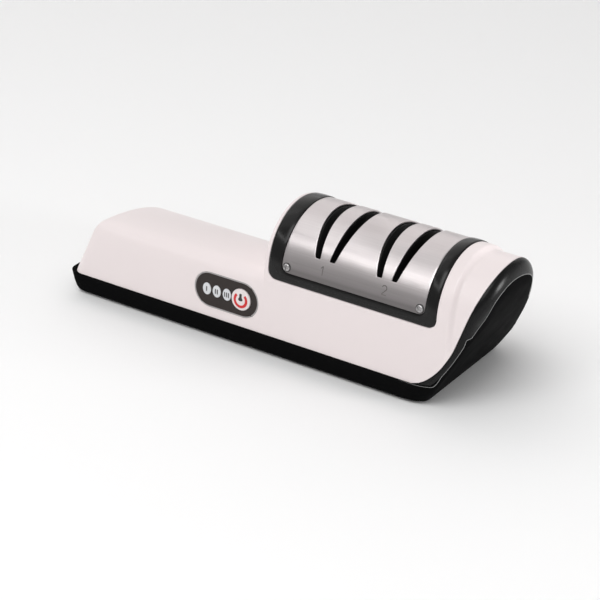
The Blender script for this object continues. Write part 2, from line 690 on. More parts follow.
# %% The parting line
def curve_through(corners, steps=24):
    """A smooth curve through the corners. Each span is a cubic, and its slope at a corner is half the chord
    between that corner's neighbours."""
    p = np.vstack([2 * corners[0] - corners[1], corners, 2 * corners[-1] - corners[-2]])
    t = np.linspace(0, 1, steps, endpoint=False)[None, :, None]
    a, b, c, d = (p[k:len(p) - 3 + k, None] for k in range(4))
    square, cube = 2 * a - 5 * b + 4 * c - d, 3 * b - a - 3 * c + d
    spans = 0.5 * (2 * b + (c - a) * t + square * t ** 2 + cube * t ** 3)
    return np.vstack([spans.reshape(-1, 2), corners[-1:]])


FACE_FOOT, TIP_FRONT, TIP_BACK = 43.2, (-38.4, 47.2), (26.2, 46.8)
ARCHWAY = np.array([(-35.5, 48.1), (-31.3, 56.3), (-28.3, 66.4), (-24.3, 71.3), (-18.8, 74.5), (-12.5, 75.8),
                    (-5.9, 75.5), (1.3, 73.8), (8.7, 70), (14, 64.5), (17.5, 57.5), (23.5, 47.8)])


def parting_line(margin, foot_z):
    """The line between rim and face, from the front foot over the arch to the back foot, moved outwards."""
    out = np.stack([np.sign(ARCHWAY[:, 0] + 9.0) * margin, np.full(len(ARCHWAY), margin)], 1)
    start = np.array([(-FACE_FOOT - margin, foot_z), (TIP_FRONT[0] - margin, TIP_FRONT[1] + margin)])
    stop = np.array([(TIP_BACK[0] + margin, TIP_BACK[1] + margin), (FACE_FOOT + margin, foot_z)])
    return np.vstack([start, curve_through(ARCHWAY + out), stop])


# %% [markdown]
# Rays join the shell's edge to the middle line, and slope inwards and down, so that each crosses the parting
# line once, also at its two ears. The rim takes the outer part of every ray, and the face the inner part.

# %% Rays of the end
# Shares of the edge's length, and how far above the foot their rays meet the middle line, in mm
RAY_MIDDLE = ([0, 0.37, 0.55, 1], [0, 13.2, 27.2, 43.2])


def side_edge(side, foot_z):
    """The section's edge on one side, from the foot to the crest."""
    z = np.linspace(foot_z, FACE_TOP, 60)
    low = np.stack([flank(END_RADIUS_ARCH, z), z], 1)
    over = np.stack(arch_path(END_RADIUS_ARCH, np.linspace(0, 1, 2400)), 1)
    crest = over[:, 1].argmax()
    path = np.vstack([low[:-1], over[:crest + 1]]) if side < 0 else over[crest:][::-1]
    path[0, 1] = foot_z
    return path


def at_share(path, share):
    """Points at shares of a polyline's length."""
    length = np.concatenate([[0], np.cumsum(np.linalg.norm(np.diff(path, axis=0), axis=1))])
    return np.stack([np.interp(np.asarray(share) * length[-1], length, path[:, k]) for k in range(2)], 1)


def rays_at(side, share, foot_z):
    """Both ends of the rays that start at shares of the edge's length."""
    edge = at_share(side_edge(side, foot_z), share)
    middle_z = foot_z + np.interp(share, *RAY_MIDDLE) * (MEDIAL_Z - foot_z) / RAY_MIDDLE[1][-1]
    return edge, np.stack([medial_y(middle_z), middle_z], 1)


def across(edge, middle, place):
    """Which side of each ray a place lies on: the cross product of the ray and the way to the place."""
    ray, way = middle - edge, place - edge
    return ray[..., 0] * way[..., 1] - ray[..., 1] * way[..., 0]


def end_rays(foot_z, margin):
    """Edge, parting-line and middle points of all rays on the front and the back."""
    line = parting_line(margin, foot_z)
    dense = np.linspace(0, 1, 3000)
    shares = [*np.linspace(0, 0.36, 26), *np.linspace(0.36, 1, 90)]
    for side, places in ((-1, (line[1], line[2])), (1, (line[-2], line[-3]))):
        edge, middle = rays_at(side, dense, foot_z)
        shares += [dense[np.abs(across(edge, middle, place)[:2400]).argmin()] for place in places]
    shares = np.array(sorted(shares))
    shares = shares[np.concatenate([[True], np.diff(shares) > 0.0008])]
    sides = []
    for side, path in ((-1, line), (1, line[::-1])):
        edge, middle = rays_at(side, shares, foot_z)
        which = across(edge[:, None], middle[:, None], path[None])
        first = (which[:, :-1] * which[:, 1:] <= 0).argmax(1)
        row = np.arange(len(shares))
        a, b = which[row, first], which[row, first + 1]
        cut = path[first] + (path[first + 1] - path[first]) * (a / np.where(a == b, 1, a - b))[:, None]
        cut[0] = path[0]
        sides.append((edge, cut, middle))
    return sides


# %% Rim
def make_rim():
    """The outer part of every ray, at the shares 1 - cos(a) that the band's ellipse needs."""
    share = 1 - np.cos(np.linspace(0, np.pi / 2, 30))[:, None, None]
    grids = [edge + (cut - edge) * share for edge, cut, _ in end_rays(SHELL_FOOT, 0.05)]
    flat = np.concatenate([grids[0], grids[1][:, ::-1][:, 1:]], 1)
    y, z = flat[..., 0], flat[..., 1]
    points = np.stack([end_depth(y, z), y, z], -1)
    index = np.arange(y.size).reshape(y.shape)
    rim = new_mesh("end_rim", points.reshape(-1, 3), grid_quads(index))
    return thicken(outward_is(rim, from_end), 1.5, 0.12)


finish(make_rim(), rim_plastic, nodes=["end_trim"])

# %% [markdown]
# ## Black tray
# The tray is one solid: a flat bottom with round recesses for feet and screws, walls that flare out as they
# rise, and the end face that grows out of the right wall. All its rings follow one plan outline, and an inner
# skin with the same rings gives it its wall. The recesses and the inlet's hole are then bored.

# %% Rings of the tray
HALF_LENGTH, HALF_WIDTH, UNDERSIDE, TRAY_TOP, TRAY_FLOOR = 142.5, 45.8, 1.0, 14.65, 3.6
FLARE, LEFT_CORNER, RIGHT_CORNER, TRAY_WALL = 6.0, 8.0, 7.0, 2.2
hull_rise = np.array([0, 0.008, 0.015, 0.03, 0.06, 0.1, 0.16, 0.235, 0.32, 0.42, 0.52, 0.64, 0.76, 0.88, 1.0])
hull_flare = np.interp(hull_rise, [0, 0.03, 0.1, 0.235, 0.52, 1], [1, 0.72, 0.52, 0.38, 0.2, 0])
face_shares = np.linspace(0, 1, 44) ** 1.7


def corner_steps(first, last, count, step=4.0):
    """Places from -1 to 1: count cells within the corner lengths first and last, and even ones between."""
    a = -1 + first * np.linspace(0, 1, count)[:-1]
    b = 1 - last * np.linspace(1, 0, count)[1:]
    return np.concatenate([a, np.linspace(-1 + first, 1 - last, max(2, round((2 - first - last) / step))), b])


def plan_rectangle():
    """A rectangle's loop, -1..1 each way. Its right edge has the end face's own points, taken back through
    the corner's rounding: w / sqrt(1 + w^2) = depth in the corner / radius."""
    length = (HALF_LENGTH + float(end_face(TRAY_TOP))) / 2
    along_x = corner_steps(LEFT_CORNER / length, 14.0 / length, 10, 4.0 / length)
    along_y = corner_steps(LEFT_CORNER / HALF_WIDTH, LEFT_CORNER / HALF_WIDTH, 10, 4.0 / HALF_WIDTH)
    y = FACE_FOOT * (1 - face_shares)
    depth = np.clip((y - HALF_WIDTH + RIGHT_CORNER) / RIGHT_CORNER, 0, 0.99)
    y = np.where(depth > 0, HALF_WIDTH - RIGHT_CORNER + RIGHT_CORNER * depth / np.sqrt(1 - depth ** 2), y)
    face_y = np.concatenate([-y[:-1], y[::-1]]) / HALF_WIDTH
    right_y = np.concatenate([[-1, (face_y[0] - 1) / 2], face_y, [(face_y[-1] + 1) / 2, 1]])
    one = np.ones
    return np.concatenate([
        np.stack([along_x[:-1], -one(len(along_x) - 1)], 1),
        np.stack([one(len(right_y) - 1), right_y[:-1]], 1),
        np.stack([along_x[:0:-1], one(len(along_x) - 1)], 1),
        np.stack([-one(len(along_y) - 1), along_y[:0:-1]], 1)])


def plan_ring(unit, z, flare, inset=0.0):
    """The rectangle's loop put on the plan outline: round corners on the left, elliptic ones on the right,
    drawn in by the flare and the inset."""
    pull = FLARE * flare
    left, right = -HALF_LENGTH + 0.4 * pull + inset, end_face(z) - 0.05 * pull - inset
    half = HALF_WIDTH - pull - inset
    x = (left + right) / 2 + unit[:, 0] * (right - left) / 2
    y = unit[:, 1] * half
    reach = 0.92 * (end_face(z) - shell_edge(z) - GAP) - inset
    corner = LEFT_CORNER - inset
    radius = np.where(unit[:, :1] > 0, (reach, RIGHT_CORNER - inset), (corner, corner))
    core_x = np.clip(x, left + LEFT_CORNER - inset, right - reach)
    core_y = np.sign(y) * np.minimum(np.abs(y), half - radius[:, 1])
    away = np.stack([x - core_x, y - core_y], 1) / radius
    away = away / np.maximum(np.linalg.norm(away, axis=1, keepdims=True), 1e-9) * radius
    return np.stack([core_x + away[:, 0], core_y + away[:, 1], np.full(len(x), z)], 1)


# %% [markdown]
# The end face continues the tray's top ring: its first row is that ring, and the depth formula shapes the
# others. Near the ring a small correction fades out, so that the two meet without a step.

# %% Tray with its end face
def closed(points, inner, faces):
    """Both skins of a wall, with a band of quads along every open edge."""
    edges = np.concatenate([np.stack([f, np.roll(f, -1)], 1) for f in map(np.asarray, faces)])
    total = len(points)
    there = edges[:, 0] * total + edges[:, 1]
    back = edges[:, 1] * total + edges[:, 0]
    rim = edges[~np.isin(there, back)]
    band = np.stack([rim[:, 1], rim[:, 0], rim[:, 0] + total, rim[:, 1] + total], 1)
    return np.vstack([points, inner]), [*faces, *[[v + total for v in f][::-1] for f in faces], *band]


def tray_skin(unit, inset, floor_z):
    """Points of one skin: bottom loops, wall rings and the end face."""
    top = TRAY_TOP
    loops = [plan_ring(unit, floor_z, 1.0, inset + 3.0), plan_ring(unit, floor_z, 1.0, inset + 0.6)]
    loops += [plan_ring(unit, floor_z + rise * (top - floor_z), flare, inset)
              for rise, flare in zip(hull_rise, hull_flare)]
    ring = loops[-1]
    first = int(np.flatnonzero(unit[:, 0] == 1)[2])
    on_face = np.arange(first, first + 2 * len(face_shares) - 1)
    share = face_shares[:, None, None]
    front, back = [cut + (middle - cut) * share for _, cut, middle in end_rays(top, -0.05)]
    flat = np.concatenate([front, back[::-1][1:]]).swapaxes(0, 1)
    y, z = flat[..., 0], flat[..., 1]
    x = end_depth(y, z)
    fade = 1 - smooth(top, 24.0, z)
    x = x + (ring[on_face, 0] + inset - end_depth(y[0], z[0])) * fade - inset
    face = np.stack([x, y, z], -1)
    face[0] = ring[on_face]
    return np.array(loops), face, on_face


# %% The tray's solid
def make_tray():
    """Both skins of the tray, joined into one closed solid."""
    unit = plan_rectangle()
    loops, face, on_face = tray_skin(unit, 0.0, UNDERSIDE)
    inner_loops, inner_face, _ = tray_skin(unit, TRAY_WALL, TRAY_FLOOR)
    index = np.arange(loops.shape[0] * len(unit)).reshape(-1, len(unit))
    face_index = index.size + np.arange(face.shape[0] * face.shape[1]).reshape(face.shape[:2])
    face_index[0] = index[-1][on_face]
    face_index[-1, len(face_shares):] = face_index[-1, :len(face_shares) - 1][::-1]
    faces = [index[0][::-1], *grid_quads(np.concatenate([index, index[:, :1]], 1).T),
             *grid_quads(face_index.T)]
    skins = [np.vstack([a.reshape(-1, 3), b.reshape(-1, 3)])
             for a, b in ((loops, face), (inner_loops, inner_face))]
    points, faces = closed(*skins, [np.asarray(f) for f in faces])
    return new_mesh("black_tray", points, faces)


# %% Recesses and the inlet's hole
def bore(piece, places, radius, span, axis="z"):
    """Cuts round holes along an axis, each from its place, over a span of that axis."""
    for place in places:
        points, quads = lathe([[span[0], 0], [span[0], radius], [span[1], radius], [span[1], 0]], 48, axis)
        drill = new_mesh("drill", points + place, quads)
        cut = piece.modifiers.new("hole", "BOOLEAN")
        cut.object, cut.solver = drill, "EXACT"
        apply_modifiers(piece)
        bpy.data.objects.remove(drill)
    return piece


def soften(piece, width, above=50.0):
    """Rounds every edge sharper than an angle."""
    edge = piece.modifiers.new("edge", "BEVEL")
    edge.width, edge.segments, edge.limit_method = width * MM, 2, "ANGLE"
    edge.angle_limit = math.radians(above)
    return apply_modifiers(piece)


FOOT_PLACES = [(x, y, 0) for x in (-128.0, 90.0) for y in (-32.0, 32.0)]
SCREW_PLACES = [(x, y, 0) for x in (-108.0, 72.0) for y in (-36.5, 33.0)]
INLET_PLACE = (-92.0, 0, 8.7)
FOOT_RECESS, SCREW_RECESS, INLET_HOLE = (5.8, (-5, 2.4)), (3.2, (-5, 3.4)), (3.75, (38, 50))
tray = bore(make_tray(), FOOT_PLACES, *FOOT_RECESS)
tray = bore(tray, SCREW_PLACES, *SCREW_RECESS)
tray = soften(bore(tray, [INLET_PLACE], *INLET_HOLE, "y"), 0.15)
finish(tray, black_plastic, nodes=["base_tray"])

# %% [markdown]
# The edge where face and rim meet catches the light as a thin pale line. It is made as a fine round lip that
# runs along the tray's corner and then up the parting line. A shading trick would be lost in other views.

# %% Pale edge of the face
def seam_path():
    """Places along the tray's front corner, and on over the end along the parting line."""
    ring = plan_ring(plan_rectangle(), PARTING, 0.0)
    ear = np.flatnonzero(np.isclose(ring[:, 1], -FACE_FOOT, atol=0.01) & (ring[:, 0] > 80))[0]
    start = np.flatnonzero(ring[:, 0] > 90)[0]
    flat = at_share(parting_line(0.0, PARTING), np.linspace(0, 1, 420))
    depth = end_depth(flat[:, 0], flat[:, 1])
    depth = depth + (ring[ear, 0] - depth[0]) * (1 - smooth(TRAY_TOP, 24.0, flat[:, 1]))
    return np.vstack([ring[start:ear], np.stack([depth, flat[:, 0], flat[:, 1]], 1)[:-1]])


# A direction that the lip never runs along, from which the circles' own axes are found
ASIDE = (0.287, 0.958, 0.0)


def tube(path, radius, steps=8):
    """Circles of the given radii, square to the path: centre + r cos(a) across + r sin(a) up."""
    ahead = np.gradient(path, axis=0)
    ahead /= np.linalg.norm(ahead, axis=1, keepdims=True)
    across = np.cross(ahead, ASIDE)
    across /= np.linalg.norm(across, axis=1, keepdims=True)
    up = np.cross(ahead, across)
    turn = np.linspace(0, 2 * np.pi, steps, endpoint=False)
    spokes = across[:, None] * np.cos(turn)[:, None] + up[:, None] * np.sin(turn)[:, None]
    points = path[:, None] + spokes * radius[:, None, None]
    index = np.arange(len(path) * steps).reshape(-1, steps)
    return points.reshape(-1, 3), [*loop_grid(index), index[0], index[-1]]


path = seam_path()
taper = 0.17 * np.sqrt(np.linspace(0.02, 30, len(path)).clip(0, 1))
finish(new_mesh("seam_lip", *tube(path, taper)), seam_plastic)

# %% [markdown]
# ## Frame and steel cover
# The black frame is one loop of profile that lies in the shell's window: outer wall, rounded top, inner wall
# and a ledge under the cover. The cover is a sheet bent on the arch, with four slots. A slot is drawn where a
# leaning knife would stand, so its centre line leans and its width grows with height.

# %% Frame
COVER_LEFT, COVER_RIGHT, COVER_FOOT, COVER_CORNER, COVER_PROUD = 10.7, 103.4, 56.0, 4.0, 0.2
FRAME_PROUD, LEDGE = 0.6, 5.0
cover_s = (s_at(COVER_FOOT, -1), s_at(COVER_FOOT, 1))
cover_middle = np.array([(COVER_LEFT + COVER_RIGHT) / 2, sum(cover_s) / 2])
cover_half = np.array([(COVER_RIGHT - COVER_LEFT) / 2, (cover_s[1] - cover_s[0]) / 2])


def narrowed(flat):
    """Moves the left edge of the cover to the right by up to 1.2 mm at the crest: 1.2 * height share ^ 2,
    fading out where the first slot begins."""
    height = ARCH_Z + ARCH_R * np.cos(flat[:, 1] / ARCH_R)
    share = np.clip((height - COVER_FOOT) / (ARCH_Z + ARCH_R - COVER_FOOT), 0, 1)
    fade = np.clip((24.0 - flat[:, 0]) / (24.0 - COVER_LEFT), 0, 1)
    return flat + np.stack([1.2 * share ** 2 * fade, flat[:, 1] * 0], 1)


def make_frame():
    """One profile (way across the frame, height) carried round from the outer to the inner outline. The
    power 0.85 crowds the loop's points towards the corners."""
    base = rectangle_loop((1.0, 1.0), (60, 84))
    base = np.sign(base) * np.abs(base) ** 0.85
    outer = rounded(base + frame_middle, frame_middle, frame_half, FRAME_CORNER)
    inner = narrowed(rounded(base + cover_middle, cover_middle, cover_half + GAP, COVER_CORNER + GAP))
    ledge = rounded(base + cover_middle, cover_middle, cover_half - LEDGE, 2.0)
    span = 7.0
    turn = np.linspace(0, np.pi / 2, 5)
    crown = np.stack([0.9 * (1 - np.cos(turn)), FRAME_PROUD - 0.9 * (1 - np.sin(turn))], 1)
    profile = [(0, -2.3), *crown, (2.2, FRAME_PROUD + 0.12), (3.5, FRAME_PROUD + 0.15)]
    profile += [(4.8, FRAME_PROUD + 0.1), (span - 0.45, FRAME_PROUD), (span - 0.12, FRAME_PROUD - 0.14)]
    profile += [(span, FRAME_PROUD - 0.45)]
    rings = [on_arch(outer + (inner - outer) * (a / span), h) for a, h in profile]
    rings += [on_arch(inner, -1.1), on_arch(ledge, -1.1), on_arch(ledge, -2.3)]
    loops = np.array(rings + rings[:1])
    index = np.arange(loops.shape[0] * loops.shape[1]).reshape(loops.shape[:2])
    return new_mesh("cover_frame", loops.reshape(-1, 3), loop_grid(index))


finish(make_frame(), frame_plastic, nodes=["bezel_frame"])

# %% Brushed cover
PAIRS, SLOT_FOOT = (37.0, 77.0), 68.4
SLOT_S = s_at(SLOT_FOOT, 1)
CREST_Z = ARCH_Z + ARCH_R


def slot_place(unit, centre, side):
    """A slot drawn flat, with (across, s), leaned over: the centre line leaves the pair's middle by 4.7 mm at
    the foot and 8.35 mm at the crest, and the width grows from 3.5 to 6.3 mm."""
    height = ARCH_Z + ARCH_R * np.cos(unit[:, 1] / ARCH_R)
    share = (height - SLOT_FOOT) / (CREST_Z - SLOT_FOOT)
    x = centre + side * (4.7 + 3.65 * share) + unit[:, 0] * (3.5 + 2.8 * share) / 3.5
    return np.stack([x, unit[:, 1]], 1)


def slot_opening(centre, side):
    """The block of cells and the outline of one slot of a pair."""
    middle = centre + side * 7.0
    block = ((middle - 5.6, middle + 5.6), (-SLOT_S - 1.6, SLOT_S + 1.6))

    def outline(loop):
        return slot_place(rounded(loop - (middle, 0), (0, 0), (1.75, SLOT_S), 0.6), centre, side)
    return (*block, outline, (0.5, 0.9, 1.0))


# %% The cover's sheet
def make_cover():
    """A flat sheet with its four openings and a rounded edge, bent on to the arch and given its wall."""
    slots = [slot_opening(centre, side) for centre in PAIRS for side in (-1, 1)]
    edges = [x for slot in slots for x in slot[0]]
    low, high = cover_middle - cover_half + 1.2, cover_middle + cover_half - 1.2
    xs = [low[0], low[0] + 0.8, low[0] + 1.6, low[0] + 2.8, *np.linspace(low[0] + 4, edges[0], 5)[:-1]]
    for a, b in zip(edges[::2], edges[1::2]):
        xs += [*np.linspace(a, b, 13)]
    xs += [*np.linspace(edges[3], edges[4], 7)[1:-1], *np.linspace(edges[-1], high[0] - 4, 5)[1:]]
    xs += [high[0] - 2.8, high[0] - 1.6, high[0] - 0.8, high[0]]
    end = SLOT_S + 1.6
    ss = [low[1], low[1] + 0.8, low[1] + 1.6, low[1] + 2.8, *np.linspace(low[1] + 4, -end, 4)[:-1]]
    ss += [*np.linspace(-end, end, 70), *np.linspace(end, high[1] - 4, 4)[1:], high[1] - 2.8, high[1] - 1.6]
    xs, ss = np.unique(np.round(xs, 4)), np.unique(np.round([*ss, high[1] - 0.8, high[1]], 4))
    flat, quads, _ = sheet(xs, ss, slots)
    index = np.arange(len(xs) * len(ss)).reshape(len(xs), len(ss))
    loop = block_loop(index, (0, len(xs) - 1), (0, len(ss) - 1))
    outline = rounded(flat[loop], cover_middle, cover_half, COVER_CORNER)
    ring = len(flat) + np.arange(len(loop))
    flat = np.vstack([flat, outline])
    quads = np.vstack([quads, ring_quads(ring, loop)])
    cover = new_mesh("brushed_cover", on_arch(narrowed(flat), COVER_PROUD), quads)
    return thicken(outward_is(cover, from_arch), 1.0, 0.18)


# %% [markdown]
# Brushed steel is never one grey: long fine scratches along the body spread each highlight sideways. Here a
# noise that is stretched along X moves the roughness, the bump and, a little, the tone.

# %% Brushed finish
def brushed_steel():
    """Brushed sheet: fine lines along X in the roughness, the bump and, faintly, the tone. The margin under
    the slots is duller, so the tone falls to 0.3 from 66.5 down to 58.5 mm."""
    made = Finish("brushed_steel", (0.6, 0.56, 0.562), 0.3, 1.0)
    fine = made.noise(60.0, (0.06, 34.0, 34.0), 4.0)
    made.vary(fine, "Roughness", 0.3, 0.42)
    made.tint(fine, (0.58, 0.54, 0.542), (0.63, 0.59, 0.592))
    made.darken_below(0.0585, 0.0665, 0.3)
    made.bump(fine, 0.00003, 0.5)
    made.shader.inputs["Anisotropic"].default_value = 0.4
    return made.material


brushed = brushed_steel()
finish(make_cover(), brushed, nodes=["steel_cover"])

# %% [markdown]
# Under each pair of slots stands a plain numeral for the sharpening stage. A numeral is a flat ribbon along a
# stroke, bent on to the arch like everything else there, in the duller grey of an etched mark.

# %% Stage numerals
etched = turned("etched_steel", (0.2, 0.185, 0.18), 0.45)


def arc(centre, radius, first, last, steps=24):
    """Points of an arc: centre + radius (cos a, sin a), from the first to the last angle in degrees."""
    turn = np.radians(np.linspace(first, last, steps))
    return np.stack([centre[0] + radius * np.cos(turn), centre[1] + radius * np.sin(turn)], 1)


STROKES = {
    1: np.array([(-1.15, 1.35), (-0.1, 2.6), (0.0, 2.6), (0.0, 1.3), (0.0, -1.3), (0.0, -2.6)]),
    2: np.vstack([arc((0.0, 1.15), 1.45, 165, -35),
                  [(-1.35, -2.35), (-1.3, -2.5), (-1.1, -2.6), (1.6, -2.6)]]),
}
NUMERAL_Z, STROKE_HALF = 63.0, 0.26
for number, centre in zip(STROKES, PAIRS):
    stroke = STROKES[number]
    ahead = np.gradient(stroke, axis=0)
    ahead /= np.linalg.norm(ahead, axis=1, keepdims=True)
    beside = np.stack([-ahead[:, 1], ahead[:, 0]], 1)
    flat = np.concatenate([stroke + beside * share for share in (-STROKE_HALF, 0.0, STROKE_HALF)])
    places = on_arch(flat + (centre, s_at(NUMERAL_Z, -1)), COVER_PROUD + 0.04)
    numeral = new_mesh(f"stage_numeral_{number}", places, grid_quads(np.arange(len(flat)).reshape(3, -1)))
    finish(thicken(outward_is(numeral, from_arch), 0.06), etched)

# %% [markdown]
# ## Screws
# The small pan-head screws are height fields: a flat dome, with a cross let in where a point lies within half
# a groove's width of either axis. The grid's lines crowd at the groove's walls, which keeps them crisp. A
# dark washer under each head gives it the ring of shadow that a real one has.

# %% Pan-head screws
def screw_head(radius, height, depth, groove=0.6, reach=0.66):
    """Points of a head about the Z axis: height(r, angle) = dome - depth inside the cross. A square grid bent
    to a disc has lines along both grooves: x = u sqrt(1 - v^2/2), y = v sqrt(1 - u^2/2)."""
    half = groove / 2 / radius
    steps = np.concatenate([[0, half * 0.96, half * 1.04], np.linspace(half * 1.9, reach * 0.97, 6)])
    steps = np.concatenate([steps, [reach * 1.01], np.linspace(reach * 1.1, 1.0, 8)])
    lines = np.unique(np.concatenate([-steps, steps]))
    u, v = np.meshgrid(lines, lines, indexing="ij")
    r = np.maximum(np.abs(u), np.abs(v))
    across, longer = np.minimum(np.abs(u), np.abs(v)), r
    in_cross = (across < half) & (longer < reach)
    x, y = u * np.sqrt(1 - v * v / 2), v * np.sqrt(1 - u * u / 2)
    bulge = 1 - 0.22 * np.clip((x * x + y * y) / 0.8, 0, 1)
    dome = height * bulge * np.sqrt(np.clip(1.0001 - r ** 6, 0, 1))
    top = np.stack([x * radius, y * radius, np.where(in_cross, dome - depth, dome)], -1)
    index = np.arange(u.size).reshape(u.shape)
    loop = block_loop(index, (0, len(lines) - 1), (0, len(lines) - 1))
    foot = top.reshape(-1, 3)[loop] * (1, 1, 0) - (0, 0, 0.5)
    ring = index.size + np.arange(len(loop))
    points = np.vstack([top.reshape(-1, 3), foot, [[0, 0, -0.5]]])
    fan = [(a, b, len(points) - 1) for a, b in zip(ring, np.roll(ring, -1))]
    return points, [*grid_quads(index), *ring_quads(ring, loop), *fan]


COVER_SCREW_X, COVER_SCREW_Z = (13.8, 100.3), 59.2
HEAD_R, HEAD_H, CROSS_DEPTH = 2.2, 1.1, 0.8
WASHER = [[-0.3, 0], [-0.3, 2.6], [0.0, 2.6], [0.05, 2.5], [0.05, 0]]
for x, x_word in zip(COVER_SCREW_X, ("left", "right")):
    for side, side_word in ((-1, "front"), (1, "rear")):
        local, quads = screw_head(HEAD_R, HEAD_H, CROSS_DEPTH)
        turn = np.radians(27 + 31 * x + 13 * side)
        a = local[:, 0] * np.cos(turn) - local[:, 1] * np.sin(turn)
        b = local[:, 0] * np.sin(turn) + local[:, 1] * np.cos(turn)
        flat = np.array([x, s_at(COVER_SCREW_Z, side)])
        foot, up = on_arch(flat[None], 0.2)[0], on_arch(flat[None], 1.2)[0]
        normal = up - foot
        ahead = np.cross(normal, (1.0, 0, 0))
        places = foot + a[:, None] * (1.0, 0, 0) + b[:, None] * ahead + local[:, 2:] * normal
        head = new_mesh(f"screw_head_{side_word}_{x_word}", places, quads)
        finish(head, screw_steel, nodes=[f"cover_screw_{side_word}_{x_word}"])
        disc, quads = lathe(WASHER, 40)
        places = foot + disc[:, :1] * (1.0, 0, 0) + disc[:, 1:2] * ahead + disc[:, 2:] * normal
        finish(new_mesh(f"screw_washer_{side_word}_{x_word}", places, quads), inner_plastic)

for x, y, _ in SCREW_PLACES:
    side_word = "front" if y < 0 else "rear"
    x_word = "left" if x < 0 else "right"
    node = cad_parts[f"base_screw_{side_word}_{x_word}"]
    node.data.materials.clear()
    node.data.materials.append(bright_steel)

# %% [markdown]
# ## Controls
# A dark stadium-shaped film lies in the front wall. It has three small oval windows, with plain marks of one,
# two and three bars, and a round push button with an open ring and a stem.

# %% Label, windows and button
LABEL_TOP, LABEL_WALL, LABEL_RIM = -0.1, 0.7, 0.75
GRID_X, GRID_Y, WINDOW_BLOCK, BUTTON_BLOCK = 17.3, 8.6, (3.3, 4.4), (3.72, 7.2)
BUTTON_X, BUTTON_R, BUTTON_PROUD, BUTTON_CROWN = 10.5, 6.4, 0.6, 0.3
WINDOW_X, WINDOW_W, WINDOW_H, WINDOW_PROUD = (-13.6, -6.7, 0.4), 5.7, 7.2, 0.15


def ellipse_opening(x_span, y_reach, centre, half):
    """A round or oval hole in a block of cells."""
    def outline(loop):
        away = rounded(loop, centre, (1.0, 1.0), 1.0) - centre
        return centre + away * half
    return (x_span, (-y_reach, y_reach), outline, (0.5, 1.0))


def make_label():
    """A flat sheet with three oval openings and a round one, closed in to the stadium's outline."""
    (wide, tall), (button_left, button_tall) = WINDOW_BLOCK, BUTTON_BLOCK
    oval = (WINDOW_W / 2 + 0.1, WINDOW_H / 2 + 0.1)
    openings = [ellipse_opening((x - wide, x + wide), tall, (x, 0.0), oval) for x in WINDOW_X]
    openings.append(ellipse_opening((button_left, GRID_X), button_tall, (BUTTON_X, 0.0),
                                    (BUTTON_R + 0.2, BUTTON_R + 0.2)))
    edges = [x for opening in openings for x in opening[0]]
    windows = [np.linspace(a, b, 9) for a, b in zip(edges[:6:2], edges[1:6:2])]
    xs = np.unique(np.round(np.concatenate([[-GRID_X], *windows, np.linspace(button_left, GRID_X, 17)]), 3))
    ys = np.unique(np.round([-GRID_Y, *np.linspace(-button_tall, -tall, 4), *np.linspace(-tall, tall, 15),
                             *np.linspace(tall, button_tall, 4), GRID_Y], 3))
    flat, quads, _ = sheet(xs, ys, openings)
    index = np.arange(len(xs) * len(ys)).reshape(len(xs), len(ys))
    loop = block_loop(index, (0, len(xs) - 1), (0, len(ys) - 1))
    parts = [quads]
    inner = loop
    for half_h in (PANEL_H / 2 - LABEL_RIM, PANEL_H / 2):
        half = (PANEL_W / 2 - PANEL_H / 2 + half_h, half_h)
        outline = rounded(flat[loop], (0, 0), half, half_h)
        ring = len(flat) + np.arange(len(loop))
        flat = np.vstack([flat, outline])
        parts.append(ring_quads(ring, inner))
        inner = ring
    label = new_mesh("control_film", panel_place(flat, LABEL_TOP), np.vstack(parts))
    return thicken(outward_is(label, to_front), LABEL_WALL, 0.08)


def label_distance(centres):
    """How far inside the stadium's edge a point of the label lies."""
    x, up = centres[:, 0] - PANEL_X, (centres[:, 2] - PANEL_Z) / front_tilt
    return PANEL_H / 2 - np.hypot(np.maximum(np.abs(x) - (PANEL_W - PANEL_H) / 2, 0), up)


film = Finish("label_film", (0.022, 0.015, 0.013), 0.2, Specular_IOR_Level=0.3)
film.vary(film.noise(90.0), "Roughness", 0.16, 0.26)
film_rim = moulded("label_rim", (0.36, 0.34, 0.34), 0.35)
label = finish(make_label(), film.material, nodes=["control_label"])
label.data.materials.append(film_rim)
centres = np.empty(len(label.data.polygons) * 3)
label.data.polygons.foreach_get("center", centres)
at_rim = label_distance(centres.reshape(-1, 3) / MM) < 0.7
label.data.polygons.foreach_set("material_index", at_rim.astype(int))


# %% Crowned plates and printed marks
def dome(half, heights, crown, steps=48, rings=10):
    """A plate with an oval outline: side wall, a small round edge and a crown of height * (1 - share^2)."""
    turn = np.linspace(0, 2 * np.pi, steps, endpoint=False)
    circle = np.stack([np.cos(turn), np.sin(turn)], 1)
    edge = np.linspace(0, np.pi / 2, 4)
    low, high, soft = *heights, 0.25
    shares = [(1.0, low)]
    shares += [(1 - soft / half[0] * (1 - np.cos(t)), high - soft * (1 - np.sin(t))) for t in edge]
    inner = 1 - soft / half[0]
    shares += [(inner * k, high + crown * (1 - k * k)) for k in np.linspace(1, 0, rings)[1:]]
    flat = np.vstack([circle * half * share for share, _ in shares])
    rise = np.repeat([height for _, height in shares], steps)
    index = np.arange(len(flat)).reshape(-1, steps)
    return flat, rise, [*loop_grid(index), index[0]]


def mark(name, flat, rise, quads, material, body=HOUSING):
    """A thin printed mark that lies on a surface."""
    made = new_mesh(name, panel_place(flat, rise), quads)
    return finish(thicken(outward_is(made, to_front), 0.06), material, body)


grey_ink = moulded("grey_ink", (0.06, 0.055, 0.055), 0.45)
red_ink = moulded("red_ink", (0.62, 0.014, 0.016), 0.4)
dark_ink = moulded("dark_ink", (0.02, 0.018, 0.018), 0.4)
button_plastic = moulded("button_plastic", (0.8, 0.73, 0.725), 0.3, 0.04, 1800.0, 0.00001)

